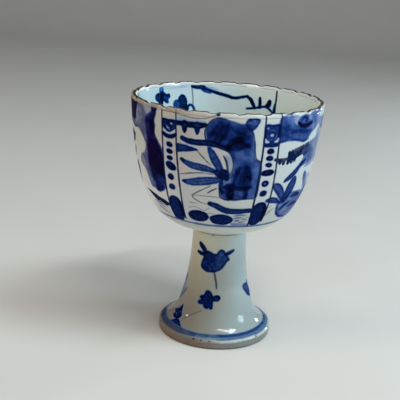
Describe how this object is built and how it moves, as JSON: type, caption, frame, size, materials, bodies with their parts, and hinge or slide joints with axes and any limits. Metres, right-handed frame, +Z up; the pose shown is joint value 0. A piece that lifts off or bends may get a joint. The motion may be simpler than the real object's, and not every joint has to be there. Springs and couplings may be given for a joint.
{
  "type": "stem cup",
  "caption": "Porcelain stem cup: a deep round bowl with a softly lobed brown-dressed lip on a hollow flared stem, painted in underglaze blue, for drinking.",
  "frame": {"origin": "centre of the ring that the foot rests on", "axes": "+Z up along the axis of the bowl and the stem"},
  "size_m": [0.0774, 0.0774, 0.1005],
  "materials": {
    "porcelain": "fired clay, hidden under the glaze",
    "painted_glaze": "glossy bluish-white glaze over cobalt painting",
    "inner_glaze": "glossy pale celadon-grey glaze with a few painted sprays",
    "iron_dressing": "brown iron dressing, buff where it is worn",
    "slip": "fired slip, hidden",
    "bare_porcelain": "bare fired clay on the foot's edge and in the hollow",
    "stem_glaze": "glossy bluish-white glaze over cobalt painting"
  },
  "bodies": {
    "root": {"bowl_body": "porcelain", "bowl_outer_glaze": "painted_glaze", "bowl_inner_glaze": "inner_glaze", "rim_dressing": "iron_dressing", "luting_slip": "slip", "stem_body": "bare_porcelain", "stem_glaze": "stem_glaze"}
  },
  "joints": []
}
